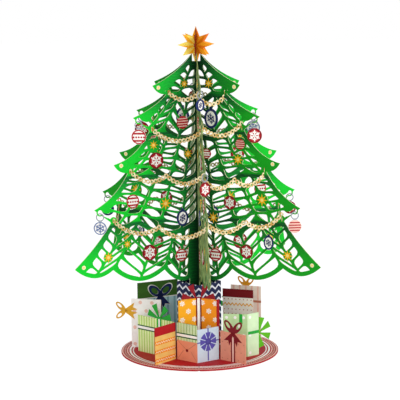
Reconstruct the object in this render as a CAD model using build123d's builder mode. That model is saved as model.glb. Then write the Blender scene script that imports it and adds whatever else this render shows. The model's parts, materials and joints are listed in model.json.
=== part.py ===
from build123d import *
import os
from itertools import pairwise
from math import cos, hypot, radians, sin

# Fold-flat pop-up card: a lattice-cut paper tree on a round base, ringed by paper gifts.
# Millimetres, +Z up, the viewer at -Y. The origin is the middle of the base's underside.

# Card stock
wing_card = 0.7  # two leaves glued back to back
gift_card = 0.6
trunk_card = 0.6
star_card = 0.6
garland_card = 0.4
ornament_card = 0.5

# Base and trunk
base_radius = 68.0
base_thickness = 1.2
fold_nick = 3.0  # nick at each end of the base's fold
trunk_half_diagonal = 19.0
trunk_top_z = 61.5

# Tree wings, drawn as reach from the spine and height above the table
sheet_turn = 5.3  # the front and back wings share a sheet that stands a little askew
side_azimuth = 30.0  # the side wings, from the line across the card
stem_reach = 9.0  # the foot of each wing, inside the trunk
crown_reach = 4.2  # bay at the top that the star's foot stands in
crown_z = 257.6
star_seat_z = 251.0
tier_reach = (42.0, 60.8, 79.4, 98.2, 117.1)
tier_tip_z = (232.4, 206.8, 168.9, 132.6, 84.7)
rear_low_reach = 88.0  # the rear side wings' lowest tier is shorter
tuck_run = 12.8  # from a plain tip in to the corner under it
tuck_drop = 7.8
tip_pull = 4.3  # from a plain tip in to where its underside turns level
bay_run = 15.3  # the same under a hooked tip, where an ornament hangs
bay_drop = 11.8
hem_drop = (20.0, 9.2, 4.2, 0.0)  # cusps of the lowest hem below its tip, from the stem outwards
hem_share = (0.285, 0.70)  # the two middle cusps as shares of the lowest reach
scallop_sag = 0.2  # depth of a scallop as a share of its width
rim_drop = 5.0  # how far an inner rim sinks at the spine below its outer corner
edge_run = 0.36  # where along a tier's outer edge its control point lies
side_hooks = (1, 3)  # the tiers with hooked tips
side_sag = (0.36, 0.38, 0.16, 0.30, 0.50)  # each tier's control point, as a share of its drop
sheet_hooks = (0, 2)
sheet_sag = (0.36, -0.15, 0.38, 0.12, 0.40)

# Lattice
border = 3.4
tip_border = 9.0  # the border widens to this at a tier's tip
spine_band = 2.2
vein = 2.3
rim_band = 3.4
rib = 1.9
rib_pitch = 9.0
rib_lean = 0.3  # share of a pitch by which a rib slants
least_opening = 6.0  # square millimetres; smaller openings aren't cut
tier_veins = (
    (0.0, 0.40, 1.0),
    (0.0, 0.30, 0.56, 0.78, 1.0),
    (0.0, 0.16, 0.36, 0.60, 0.80, 1.0),
    (0.0, 0.17, 0.40, 0.60, 0.78, 1.0),
    (0.08, 0.17, 0.285, 0.49, 0.70, 0.85, 1.0),
)
# Solid islands for the printed ornaments: tier, vein, share of the way down, radius
islands = (
    (0, 0.40, 0.72, 3.6),
    (1, 0.30, 0.57, 5.2),
    (2, 0.80, 0.25, 6.0),
    (2, 0.60, 0.65, 4.8),
    (2, 0.16, 0.37, 3.8),
    (3, 0.78, 0.48, 5.6),
    (3, 0.40, 0.41, 5.4),
    (3, 0.17, 0.75, 4.8),
    (4, 0.49, 0.43, 6.4),
    (4, 0.70, 0.48, 4.2),
    (4, 0.85, 0.60, 4.2),
    (4, 0.17, 0.51, 5.2),
)

# Hooks and hanging ornaments
hook_in = 5.2  # from the tip in to the middle of the hook's eye
hook_down = 2.4
eye_radius = 2.1
hook_strip = 1.0
hook_from = 25.0  # angles of the hook's strip round its eye
hook_to = -128.0
mouth_width = 2.7
mouth_length = 9.0
mouth_angle = -152.0
ring_inner = 2.6
ring_band = 0.8
ring_above_strip = 1.25  # from the strip's middle up to the ring's inside
neck_width = 2.8
neck_length = 1.0
ornament_turn = 35.0  # each ornament hangs turned out of its wing's plane
sheet_ornament_turn = 49.0  # the same on the front and back wings
ornament_radius = (5.0, 6.2, 5.9, 5.6)  # by the tier it hangs from

# Garlands, one to each gap between wings at four heights
garland_in = 2.0  # from the corner under a tier in to the garland's end
garland_up = 1.6
garland_pad = 3.0
garland_swags = (1, 1, 2, 2)
garland_sag = (6.0, 9.0, 7.0, 8.0)
garland_peak_drop = 2.0
bead_pitch = 4.2
bead_crest = 1.9
bead_waist = 0.8

# Star
star_middle_z = 265.0
star_turn = -10.0
star_up = 15.0
star_side = 16.7
star_diagonal = 14.8
star_diagonal_angle = 37.0
star_valley = 7.4
star_side_valley = 8.1
star_foot = 1.2
star_waist = 3.2

# Gifts: feet on the base as plan points, then the height of each panel
striped_foot = ((-52.9, -4.3), (-21.2, -31.6))
striped_height = (32.0,)
chevron_foot = ((-36.8, -52.6), (-20.2, -32.5))
chevron_height = (31.8,)
front_fold_foot = ((-18.6, -33.0), (-1.4, -46.4), (16.4, -34.2))
front_fold_height = (32.2, 28.4)
dusty_foot = ((18.2, -35.6), (39.2, -52.1))
dusty_height = (25.0,)
dotted_fold_foot = ((20.5, -24.5), (40.8, -27.7), (50.6, -20.0))
dotted_fold_height = (37.0, 37.0)
snow_fold_foot = ((-17.5, -27.5), (-0.5, -20.6), (17.3, -27.5))
snow_fold_height = (49.3, 49.3)
tall_lidded_foot = ((-54.0, 14.0), (-19.3, 30.0))
tall_lidded_height = (55.8,)
pale_dotted_foot = ((-59.3, 9.0), (-33.1, 3.0))
pale_dotted_height = (43.2,)
banded_foot = ((20.4, 22.0), (46.9, 13.0))
banded_height = (48.7,)
rear_pale_foot = ((27.7, 36.0), (54.1, 26.0))
rear_pale_height = (49.0,)
back_fold_foot = ((16.0, 38.0), (0.0, 47.0), (-15.0, 37.0))
back_fold_height = (34.0, 30.0)
back_left_foot = ((-22.0, 42.0), (-37.0, 53.0))
back_left_height = (31.0,)
back_right_foot = ((37.0, 54.0), (22.0, 43.0))
back_right_height = (28.0,)
loop_lean = 42.0  # each loop of a bow from the upright
loop_reach = 5.1  # from the knot to the loop's middle
loop_half = (5.4, 2.55)
loop_hole_reach = 6.6
loop_hole_half = (2.55, 1.2)
front_bow_size = 1.25  # the bow on the nearest gift, against the others
fan_along = 0.6  # where along its panel's top a fan stands
fan_length = 13.5
fan_half_angle = 12.5
fan_angles = (14, 52, 116, 162)
fold_fan_angles = ((112, 166), (14, 68))  # the two halves of a fan that a fold parts
side_fan_angles = (-76, -22, 26, 74)
knot_radius = 2.0
left_bow_up = 32.4
left_bow_out = 5.8  # from its panel's edge out to the knot, bridged by two ribbon ends
left_tail_angles = (-24, 24)
left_tail_length = 10.0
right_bow_up = 19.2

tiers = range(len(tier_reach))
lowest = len(tier_reach) - 1


class Pattern:
    """A wing's cutting pattern: which tips are hooked and how its edges sag."""

    def __init__(self, hooks, edge_sag, low_reach):
        self.hooks = hooks
        self.edge_sag = edge_sag
        self.reach = (*tier_reach[:-1], low_reach)

    def tip(self, tier):
        return (self.reach[tier], tier_tip_z[tier])

    def corner(self, tier):
        """Inner corner under a tier's tip, where the edge of the next tier starts."""
        run, drop = (bay_run, bay_drop) if tier in self.hooks else (tuck_run, tuck_drop)
        return (self.reach[tier] - run, tier_tip_z[tier] - drop)

    def edge(self, tier):
        """Start, control and end of a tier's concave outer edge."""
        start = self.corner(tier - 1) if tier else (crown_reach, crown_z)
        end = self.tip(tier)
        run, drop = end[0] - start[0], start[1] - end[1]
        control = (start[0] + edge_run * run, end[1] + self.edge_sag[tier] * drop)
        return start, control, end

    def cusps(self, tier):
        """Points between the scallops of a tier's lower rim, from the spine outwards."""
        if tier == lowest:
            middle = [share * self.reach[tier] for share in hem_share]
            reach = (stem_reach, *middle, self.reach[tier])
            return [(r, tier_tip_z[tier] - drop) for r, drop in zip(reach, hem_drop)]
        corner = self.corner(tier)
        middle = tier_veins[tier][len(tier_veins[tier]) // 2] * self.reach[tier]
        return [(0.0, corner[1] - rim_drop), (middle, corner[1]), corner]

    def rim(self, tier, reach):
        """Height of a tier's scalloped lower rim at a reach."""
        points = self.cusps(tier) + [self.tip(tier)]
        for (r0, z0), (r1, z1) in pairwise(points):
            if reach <= r1 and r1 > r0:
                share = max((reach - r0) / (r1 - r0), 0.0)
                scallop = 0.0 if (r1, z1) == self.tip(tier) and tier != lowest else scallop_sag
                return z0 + share * (z1 - z0) - 4 * scallop * (r1 - r0) * share * (1 - share)
        return tier_tip_z[tier]

    def fan(self, tier, across, down):
        """Point on a tier: across runs from spine to edge, down from the rim above to the rim."""
        start, control, end = self.edge(tier)
        top_reach = across * start[0]
        top_z = self.rim(tier - 1, top_reach) if tier else star_seat_z + across * (crown_z - star_seat_z)
        low_reach = across * end[0]
        low_z = self.rim(tier, low_reach)
        bow = [control[i] - (start[i] + end[i]) / 2 for i in (0, 1)]
        mid_reach = (top_reach + low_reach) / 2 + across**2 * bow[0]
        mid_z = (top_z + low_z) / 2 + across**2 * bow[1]
        a, b, c = (1 - down) ** 2, 2 * down * (1 - down), down**2
        return (a * top_reach + b * mid_reach + c * low_reach, a * top_z + b * mid_z + c * low_z)

    def eye(self, tier):
        return (self.reach[tier] - hook_in, tier_tip_z[tier] - hook_down)

    def pivot(self, tier):
        """Middle of the hook's strip under its eye, which an ornament swings about."""
        r, z = self.eye(tier)
        return (r, z - eye_radius - hook_strip / 2)

    def garland_end(self, level):
        r, z = self.corner(level)
        return (r - garland_in, z + garland_up)


def heading(azimuth):
    """Level direction at an azimuth."""
    return Vector(cos(radians(azimuth)), sin(radians(azimuth)))


def upright(origin, along):
    """Vertical plane through a point, with its X along a level direction and its Y up."""
    return Plane(origin=origin, x_dir=along, z_dir=(along.Y, -along.X, 0))


class Wing:
    """A pattern standing out from the spine at an azimuth, and how its ornaments hang."""

    def __init__(self, azimuth, pattern, ornament_turn):
        self.azimuth = azimuth
        self.pattern = pattern
        self.out = heading(azimuth)
        self.plane = upright((0, 0, 0), self.out)
        self.ornament_across = heading(azimuth + ornament_turn)

    def place(self, point):
        """A point of the pattern in space."""
        return Vector(self.out.X * point[0], self.out.Y * point[0], point[1])


sheet_pattern = Pattern(sheet_hooks, sheet_sag, tier_reach[lowest])
side_pattern = Pattern(side_hooks, side_sag, tier_reach[lowest])
rear_pattern = Pattern(side_hooks, side_sag, rear_low_reach)
wings = {
    "front": Wing(-90 + sheet_turn, sheet_pattern, -sheet_ornament_turn),
    "front_right": Wing(-side_azimuth, side_pattern, ornament_turn),
    "back_right": Wing(side_azimuth, rear_pattern, -ornament_turn),
    "back": Wing(90 + sheet_turn, sheet_pattern, sheet_ornament_turn),
    "back_left": Wing(180 - side_azimuth, rear_pattern, ornament_turn),
    "front_left": Wing(180 + side_azimuth, side_pattern, -ornament_turn),
}
wing_order = list(wings)


def trim(cell, start, end, margin):
    """What is left of a cell a margin inside the line from start to end; corners run clockwise."""
    run, rise = end[0] - start[0], end[1] - start[1]
    length = hypot(run, rise)
    depth = [(rise * (x - start[0]) - run * (y - start[1])) / length - margin for x, y in cell]
    kept = []
    for here, ahead, a, b in zip(cell, cell[1:] + cell[:1], depth, depth[1:] + depth[:1]):
        if a >= 0:
            kept.append(here)
        if a * b < 0:
            share = a / (a - b)
            kept.append(tuple(p + share * (q - p) for p, q in zip(here, ahead)))
    return kept


def area(cell):
    """Area inside a cell whose corners run clockwise."""
    return sum(x1 * y0 - x0 * y1 for (x0, y0), (x1, y1) in zip(cell, cell[1:] + cell[:1])) / 2


def column_cells(pattern, tier, left, right, lean):
    """Openings between two veins of a tier, parted by slanting ribs."""
    middle = (left + right) / 2
    top, low = pattern.fan(tier, middle, 0), pattern.fan(tier, middle, 1)
    rows = max(round(hypot(top[0] - low[0], top[1] - low[1]) / rib_pitch), 1)
    left_band = spine_band if left == tier_veins[tier][0] else vein / 2
    for row in range(rows):
        last = row + 1 == rows
        edge_band = border + (tip_border - border) * ((row + 1) / rows) ** 2
        right_band = edge_band if right == 1.0 else vein / 2
        upper = [(row + (slant if row else 0)) / rows for slant in (lean, -lean)]
        lower = [(row + 1 + (0 if last else slant)) / rows for slant in (lean, -lean)]
        corners = [pattern.fan(tier, left, upper[0]), pattern.fan(tier, right, upper[1])]
        corners += [pattern.fan(tier, right, lower[1])]
        corners += [low] if last else []
        corners += [pattern.fan(tier, left, lower[0])]
        dip = (corners[0][1] + corners[1][1]) / 2 - top[1]
        top_band = rib / 2 if row else rim_band / 2 + max(dip, 0)
        low_band = (rim_band if tier == lowest else rim_band / 2) if last else rib / 2
        bands = [top_band, right_band, *[low_band] * (2 if last else 1), left_band]
        cell = corners
        for start, end, band in zip(corners, corners[1:] + corners[:1], bands):
            cell = trim(cell, start, end, band)
        if cell and area(cell) > least_opening:
            yield cell


def draw_wing(pattern):
    """A pattern's cut outline with its lattice, islands and hooks, in the open sketch."""
    with BuildLine() as outline:
        stem_top = pattern.cusps(lowest)[0]
        Polyline((0, base_thickness), (stem_reach, base_thickness), stem_top)
        for start, end in pairwise(pattern.cusps(lowest)):
            sag = 2 * scallop_sag * (end[0] - start[0])
            Bezier(start, ((start[0] + end[0]) / 2, (start[1] + end[1]) / 2 - sag), end)
        for tier in reversed(tiers):
            start, control, end = pattern.edge(tier)
            Bezier(end, control, start)
            if tier and tier - 1 in pattern.hooks:
                Line(start, pattern.tip(tier - 1))
            elif tier:
                tip = pattern.tip(tier - 1)
                Bezier(start, (tip[0] - tip_pull, start[1]), tip)
        Polyline((crown_reach, crown_z), (crown_reach, star_seat_z), (0, star_seat_z), (0, base_thickness))
    make_face(outline.line)
    cells = []
    for tier in tiers:
        for column, (left, right) in enumerate(pairwise(tier_veins[tier])):
            lean = rib_lean if column % 2 else -rib_lean
            cells += column_cells(pattern, tier, left, right, lean)
    add([Polygon(*cell, mode=Mode.PRIVATE) for cell in cells], mode=Mode.SUBTRACT)
    with Locations(*[pattern.garland_end(level) for level in range(lowest)]):
        Circle(garland_pad)
    for tier, across, down, radius in islands:
        with Locations(pattern.fan(tier, across, down)):
            Circle(radius)
    for tier in pattern.hooks:
        eye = pattern.eye(tier)
        with Locations(eye):
            Circle(eye_radius, mode=Mode.SUBTRACT)
            Rectangle(
                mouth_length,
                mouth_width,
                rotation=mouth_angle,
                align=(Align.MIN, Align.CENTER),
                mode=Mode.SUBTRACT,
            )
        with BuildLine() as strip:
            inner = CenterArc(eye, eye_radius, hook_from, hook_to - hook_from)
            outer = CenterArc(eye, eye_radius + hook_strip, hook_from, hook_to - hook_from)
            Line(inner @ 0, outer @ 0)
            Line(inner @ 1, outer @ 1)
        make_face(strip.line)
        with Locations((inner @ 1 + outer @ 1) / 2):
            Circle(hook_strip / 2)


os.makedirs("parts", exist_ok=True)

# Round base with a nick at each end of its fold
with BuildPart() as base:
    with BuildSketch():
        Circle(base_radius)
        for side in (-1, 1):
            with Locations((0, side * base_radius)):
                RegularPolygon(fold_nick / 2, 4, rotation=45, mode=Mode.SUBTRACT)
    extrude(amount=base_thickness)
base.part.label = "base"
export_step(base.part, "parts/base.step")

# Square trunk sleeve set corner to the front
with BuildPart() as trunk:
    with BuildSketch(Plane.XY.offset(base_thickness)):
        RegularPolygon(trunk_half_diagonal, 4)
        offset(amount=-trunk_card, mode=Mode.SUBTRACT)
    extrude(amount=trunk_top_z - base_thickness)
trunk.part.label = "trunk_sleeve"
export_step(trunk.part, "parts/trunk_sleeve.step")

# Six wings, mitred against each other along the spine
drawn = {}
for pattern in (sheet_pattern, side_pattern, rear_pattern):
    with BuildSketch() as drawing:
        draw_wing(pattern)
    drawn[pattern] = drawing.sketch
for name, wing in wings.items():
    place = wing_order.index(name)
    ahead = wings[wing_order[(place + 1) % len(wing_order)]]
    behind = wings[wing_order[place - 1]]
    with BuildPart() as leaf:
        with BuildSketch(wing.plane):
            add(drawn[wing.pattern])
        extrude(amount=wing_card / 2, both=True)
        for other in (ahead, behind):
            split(bisect_by=Plane(origin=(0, 0, 0), z_dir=wing.out - other.out), keep=Keep.TOP)
    leaf.part.label = name + "_wing"
    export_step(leaf.part, "parts/" + name + "_wing.step")

# Six-vaned star standing in the crown
star_outline = [(0, star_middle_z + star_up)]
for angle, length in (
    ((90 + star_diagonal_angle) / 2, star_valley),
    (star_diagonal_angle, star_diagonal),
    (star_diagonal_angle / 2, star_side_valley),
    (0, star_side),
    (-star_diagonal_angle / 2, star_side_valley),
    (-star_diagonal_angle, star_diagonal),
):
    point = length * heading(angle)
    star_outline.append((point.X, star_middle_z + point.Y))
star_outline += [(star_waist, crown_z), (star_foot, star_seat_z), (0, star_seat_z)]
with BuildPart() as star:
    for wing in wings.values():
        with BuildSketch(upright((0, 0, 0), heading(wing.azimuth + star_turn))):
            Polygon(*star_outline)
        extrude(amount=star_card / 2, both=True)
star.part.label = "star"
export_step(star.part, "parts/star.step")


def garland_outline(level, span):
    """Beaded swag between two points on a level, as a closed outline."""
    swags = garland_swags[level]
    steps = 2 * round(span / bead_pitch)
    upper, lower = [], []
    for step in range(steps + 1):
        along = step / steps
        share = (along * swags) % 1.0 if step < steps else 1.0
        ends = garland_peak_drop * (1 - abs(2 * along - 1)) if swags > 1 else 0.0
        height = -4 * garland_sag[level] * share * (1 - share) - ends
        half = bead_crest if step % 2 else bead_waist
        upper.append((along * span, height + half))
        lower.append((along * span, height - half))
    return upper + lower[::-1]


# Garlands, each trimmed to the faces of the wings it hangs between
for level in range(lowest):
    for place, name in enumerate(wing_order):
        near, far = wings[name], wings[wing_order[(place + 1) % len(wing_order)]]
        start = near.place(near.pattern.garland_end(level))
        end = far.place(far.pattern.garland_end(level))
        along = end - start
        run = Vector(along.X, along.Y)
        with BuildPart() as garland:
            with BuildSketch(upright(start, run)):
                Polygon(*garland_outline(level, run.length))
            extrude(amount=garland_card / 2, both=True)
            for wing, side in ((near, -1), (far, 1)):
                face = wing.plane.offset(side * wing_card / 2)
                split(bisect_by=face, keep=Keep.BOTTOM if side < 0 else Keep.TOP)
        garland.part.label = f"garland_{level + 1}_{name}"
        export_step(garland.part, f"parts/garland_{level + 1}_{name}.step")

# Flat ornaments, each with a ring that hangs round a hook's strip
for name, wing in wings.items():
    for level, tier in zip(("upper", "lower"), wing.pattern.hooks):
        ring_y = ring_above_strip - ring_inner
        neck_y = ring_y - ring_inner - ring_band / 2
        ball_y = neck_y - neck_length - ornament_radius[tier] + ring_band / 2
        with BuildPart() as ornament:
            pivot = wing.place(wing.pattern.pivot(tier))
            with BuildSketch(upright(pivot, wing.ornament_across)):
                with Locations((0, ring_y)):
                    Circle(ring_inner + ring_band)
                    Circle(ring_inner, mode=Mode.SUBTRACT)
                with Locations((0, neck_y)):
                    Rectangle(neck_width, neck_length + ring_band, align=(Align.CENTER, Align.MAX))
                with Locations((0, ball_y)):
                    Circle(ornament_radius[tier])
            extrude(amount=ornament_card / 2, both=True)
        ornament.part.label = f"{name}_{level}_ornament"
        export_step(ornament.part, f"parts/{name}_{level}_ornament.step")


def loop_bow(x, y, turn=0.0, size=1.0):
    """Two open ribbon loops knotted at a point of the open sketch."""
    for side in (-1, 1):
        with Locations(Location((x, y, 0), (0, 0, turn + 90 - side * loop_lean))):
            with Locations((size * loop_reach, 0)):
                Ellipse(*[size * half for half in loop_half])
            with Locations((size * loop_hole_reach, 0)):
                Ellipse(*[size * half for half in loop_hole_half], mode=Mode.SUBTRACT)


def ribbon_ends(x, y, angles, length):
    """Cut ribbon ends fanned out from a point of the open sketch."""
    for angle in angles:
        tips = [length * heading(angle + side * fan_half_angle) for side in (-1, 1)]
        Polygon((x, y), *[(x + tip.X, y + tip.Y) for tip in tips])


def fan_bow(x, y, angles):
    """Ribbon ends fanned out from a round knot."""
    with Locations((x, y)):
        Circle(knot_radius)
    ribbon_ends(x, y, angles, fan_length)


def gift(name, foot, heights, bow=None, bow_size=1.0):
    """A gift of one or two upright panels, with its bow cut in one with the first or last."""
    with BuildPart() as panels:
        for (start, end), height in zip(pairwise(foot), heights):
            run = Vector(end[0] - start[0], end[1] - start[1])
            with BuildSketch(upright((*start, base_thickness), run)):
                Rectangle(run.length, height, align=Align.MIN)
                if bow == "loops" and end == foot[-1]:
                    loop_bow(run.length / 2, height, size=bow_size)
                elif bow == "fan" and end == foot[-1]:
                    fan_bow(fan_along * run.length, height, fan_angles)
                elif bow == "fold" and start == foot[0]:
                    fan_bow(run.length - knot_radius, height, fold_fan_angles[0])
                elif bow == "fold":
                    fan_bow(knot_radius, height, fold_fan_angles[1])
                elif bow == "left":
                    loop_bow(-left_bow_out, left_bow_up, 90)
                    ribbon_ends(-left_bow_out, left_bow_up, left_tail_angles, left_tail_length)
                elif bow == "right" and end == foot[-1]:
                    fan_bow(run.length, right_bow_up, side_fan_angles)
            extrude(amount=gift_card / 2, both=True)
    panels.part.label = name
    export_step(panels.part, "parts/" + name + ".step")


gift("striped_gift", striped_foot, striped_height, "fan")
gift("chevron_gift", chevron_foot, chevron_height)
gift("front_fold_gift", front_fold_foot, front_fold_height)
gift("dusty_gift", dusty_foot, dusty_height, "loops", front_bow_size)
gift("dotted_fold_gift", dotted_fold_foot, dotted_fold_height, "right")
gift("snow_fold_gift", snow_fold_foot, snow_fold_height, "fold")
gift("tall_lidded_gift", tall_lidded_foot, tall_lidded_height)
gift("pale_dotted_gift", pale_dotted_foot, pale_dotted_height, "left")
gift("banded_gift", banded_foot, banded_height)
gift("rear_pale_gift", rear_pale_foot, rear_pale_height, "loops")
gift("back_fold_gift", back_fold_foot, back_fold_height)
gift("back_left_gift", back_left_foot, back_left_height, "loops")
gift("back_right_gift", back_right_foot, back_right_height, "fan")
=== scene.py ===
# %% [markdown]
# # A pop-up paper tree
# This lesson dresses a fold-flat card that opens into a tree: six lattice-cut paper wings on one
# spine, ringed by paper gifts on a round board. The solids come from the CAD frame and already
# stand in their places. Here they get their cut edges, their inks and their printed ornaments.

# %% Load the solids
import json
from itertools import combinations, pairwise
from math import asin, cos, degrees, hypot, radians, sin, sqrt, tau

import bmesh
import bpy
from mathutils import Matrix, Vector
from mathutils.geometry import delaunay_2d_cdt


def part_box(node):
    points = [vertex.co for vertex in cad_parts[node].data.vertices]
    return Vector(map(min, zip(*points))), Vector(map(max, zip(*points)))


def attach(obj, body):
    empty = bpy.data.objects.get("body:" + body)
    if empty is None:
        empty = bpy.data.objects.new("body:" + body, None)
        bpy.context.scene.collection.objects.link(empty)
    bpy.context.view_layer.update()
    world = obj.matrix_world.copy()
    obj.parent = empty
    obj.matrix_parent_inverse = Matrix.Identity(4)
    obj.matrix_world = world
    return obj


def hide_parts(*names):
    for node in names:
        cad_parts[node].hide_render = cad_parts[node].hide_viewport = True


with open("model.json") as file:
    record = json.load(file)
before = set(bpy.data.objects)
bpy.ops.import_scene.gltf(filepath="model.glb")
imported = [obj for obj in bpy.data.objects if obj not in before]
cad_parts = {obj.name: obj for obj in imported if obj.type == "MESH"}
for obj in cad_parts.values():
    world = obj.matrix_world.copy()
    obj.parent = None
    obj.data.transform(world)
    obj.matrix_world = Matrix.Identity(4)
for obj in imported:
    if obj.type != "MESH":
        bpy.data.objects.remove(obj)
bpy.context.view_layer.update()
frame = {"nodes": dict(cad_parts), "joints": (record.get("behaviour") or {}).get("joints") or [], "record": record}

mm = 0.001
nodes = frame["nodes"]
up = Vector((0, 0, 1))

# %% [markdown]
# ## The camera
# The portrait was taken from a little above the card with a long lens. The position below was
# solved from the tips of the wings, so a wing's tip lands where it stands in the portrait. Moving
# the camera by eye would also do, but then every size read off the portrait would drift.

# %% Camera
portrait_px = 400
focal_px = 1585.6
optical_axis_px = 197.9
camera_away = 1337.2 * mm
camera_height = 355.8 * mm
camera_azimuth = radians(0.79)
camera_pitch = radians(9.49)
camera_roll = radians(-0.73)


def add_object(name, data):
    """A new object in the scene."""
    thing = bpy.data.objects.new(name, data)
    bpy.context.scene.collection.objects.link(thing)
    return thing


lens = bpy.data.cameras.new("portrait_lens")
lens.lens = focal_px / portrait_px * lens.sensor_width
lens.shift_x = (portrait_px / 2 - optical_axis_px) / portrait_px
camera = add_object("portrait_camera", lens)
level_view = Matrix.Rotation(radians(90) - camera_pitch, 4, "X")
camera.matrix_world = (
    Matrix.Rotation(camera_azimuth, 4, "Z")
    @ Matrix.Translation((0, -camera_away, camera_height))
    @ level_view
    @ Matrix.Rotation(camera_roll, 4, "Z")
)
bpy.context.scene.camera = camera
print(f"lens {lens.lens:.0f} mm, {camera_away:.2f} m away")

# %% [markdown]
# ## Inks on card
# Every piece is coated card under a film of printing ink. Coated card is satin, not glossy: its
# roughness is near 0.6. Solid ink is never quite even, so the colour drifts a little over some
# millimetres, and the paper's fibres stand up as a very fine bump.


# %% Helpers for colour and nodes
def linear(code):
    """An sRGB hex colour as linear light."""
    parts = [int(code[i : i + 2], 16) / 255 for i in (1, 3, 5)]
    return (*[p / 12.92 if p <= 0.04045 else ((p + 0.055) / 1.055) ** 2.4 for p in parts], 1.0)


def add(tree, kind, inputs=None, **settings):
    """Add a node, give it its settings, and link or set its inputs."""
    made = tree.nodes.new(kind)
    for name, value in settings.items():
        setattr(made, name, value)
    for key, value in (inputs or {}).items():
        if isinstance(value, bpy.types.NodeSocket):
            tree.links.new(value, made.inputs[key])
        else:
            made.inputs[key].default_value = value
    return made


def clear_tree(owner):
    """An empty node tree on a material or a world."""
    owner.use_nodes = True
    owner.node_tree.nodes.clear()
    return owner.node_tree


def maths(tree, operation, *values):
    """A maths node's result."""
    return add(tree, "ShaderNodeMath", dict(enumerate(values)), operation=operation).outputs[0]


def span(tree, value, low, high, first=0.0, last=1.0):
    """A value between low and high as one between first and last."""
    ends = {"From Min": low, "From Max": high, "To Min": first, "To Max": last}
    return add(tree, "ShaderNodeMapRange", {"Value": value} | ends).outputs["Result"]


def blend(tree, share, first, second):
    """A colour that goes over to another by a share. Each is a hex colour or a socket."""
    first, second = (linear(tone) if isinstance(tone, str) else tone for tone in (first, second))
    mixed = add(tree, "ShaderNodeMix", {0: share, 6: first, 7: second}, data_type="RGBA")
    return mixed.outputs[2]


def noise(tree, place, size, detail):
    """Soft patches of about this size."""
    patches = {"Vector": place, "Scale": 1 / size, "Detail": detail}
    return add(tree, "ShaderNodeTexNoise", patches).outputs["Fac"]


def from_spine(tree, place):
    """The distance from the card's upright axis."""
    flat = add(tree, "ShaderNodeVectorMath", {0: place, 1: (1, 1, 0)}, operation="MULTIPLY")
    reach = add(tree, "ShaderNodeVectorMath", {0: flat.outputs["Vector"]}, operation="LENGTH")
    return reach.outputs["Value"]


print(f"mid grey, #808080, is {linear('#808080')[0]:.3f} of full light")

# %% Printed card
mottle_size = 7 * mm
fibre_size = 0.7 * mm  # real fibres are finer: drawn this coarse so that they show
fibre_height = 0.05 * mm
film_drift = 0.05  # in roughness, from thin ink to thick
satin_sheen = 0.18  # a broad faint highlight, and no mirror image


def printed_card(name, ink, roughness=0.58):
    """Coated card under ink. The ink is a hex colour, or a function that paints one with nodes."""
    material = bpy.data.materials.new(name)
    tree = clear_tree(material)
    place = add(tree, "ShaderNodeTexCoord").outputs["Object"]
    colour = ink(tree, place) if callable(ink) else linear(ink)
    cloud = noise(tree, place, mottle_size, 3.0)
    density = span(tree, cloud, 0.3, 0.7, 0.93, 1.05)
    film = span(tree, cloud, 0.3, 0.7, roughness - film_drift, roughness + film_drift)
    printed = add(tree, "ShaderNodeHueSaturation", {"Color": colour, "Value": density})
    fibre = noise(tree, place, fibre_size, 2.0)
    relief = {"Height": fibre, "Strength": 0.25, "Distance": fibre_height}
    finish = {
        "Base Color": printed.outputs["Color"],
        "Roughness": film,
        "Specular IOR Level": satin_sheen,
        "Normal": add(tree, "ShaderNodeBump", relief).outputs["Normal"],
    }
    shader = add(tree, "ShaderNodeBsdfPrincipled", finish)
    add(tree, "ShaderNodeOutputMaterial", {"Surface": shader.outputs["BSDF"]})
    return material


def cover(solid, paper):
    """Make a solid of one card all over."""
    solid.data.materials.clear()
    solid.data.materials.append(paper)


ink_colours = {
    "white": "#fbf8f2",
    "cream": "#f6e8c4",
    "gold": "#f6b01c",
    "straw": "#ffde78",
    "crimson": "#b3141f",
    "deep_red": "#7a0f1a",
    "blush": "#f3c4b6",
    "navy": "#1c2a5e",
    "slate": "#6a7ba3",
    "violet": "#564fa3",
    "leaf": "#25a53a",
    "pine": "#17552b",
    "moss": "#3c6a24",
    "amber": "#ec8a1c",
    "ochre": "#e0a62c",
    "terracotta": "#c07a60",
    "sage": "#b6d86a",
    "pale_green": "#d5e8b6",
    "teal": "#8dbcc6",
}
inks = {name: printed_card(name + "_ink_on_card", code) for name, code in ink_colours.items()}
print(f"{len(inks)} inks")

# %% [markdown]
# ## The wings
# Each wing is a leaf of card, cut by laser, so its openings have soft corners and its cut edges
# show the pale core. The solid has the same openings with straight sides. Bevelling its corners
# is one way, but a cut sheet is a drawing first. So each opening of the solid's flat face becomes
# a closed quadratic spline, which rounds it like a leaf. What lies between the outline and the
# openings is then filled with triangles and given the sheet's thickness.


# %% Read a flat face's loops
same_corner = 0.001 * mm
one_plane = 0.99  # cosine between the normals of faces that lie in one plane


def face_loops(node, normal):
    """The closed loops of corners round the flat face of a solid that looks along normal."""
    shape = bmesh.new()
    shape.from_mesh(node.data)
    bmesh.ops.remove_doubles(shape, verts=shape.verts, dist=same_corner)
    flat = {face for face in shape.faces if face.normal.dot(normal) > one_plane}
    following = {}
    for face in flat:
        for side in face.loops:
            if not any(other in flat for other in side.edge.link_faces if other is not face):
                following[side.vert] = side.link_loop_next.vert
    loops = []
    while following:
        corner = next(iter(following))
        loop = []
        while corner in following:
            loop.append(corner.co.copy())
            corner = following.pop(corner)
        loops.append(loop)
    shape.free()
    return loops


leftward = Vector((-1, 0, 0))
print(f"front wing: {len(face_loops(nodes['front_wing'], leftward))} loops round its left face")

# %% Cut a new sheet
bend_steps = 3
triangles_inside = 1  # the triangulation's kind of result: only what lies inside the rings
weld_reach = 1e-4


def plain_mesh(thing):
    """The evaluated shape of an object as a mesh of its own. The object is removed."""
    bpy.context.scene.collection.objects.link(thing)
    ready = thing.evaluated_get(bpy.context.evaluated_depsgraph_get())
    mesh = bpy.data.meshes.new_from_object(ready)
    bpy.data.objects.remove(thing)
    return mesh


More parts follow.
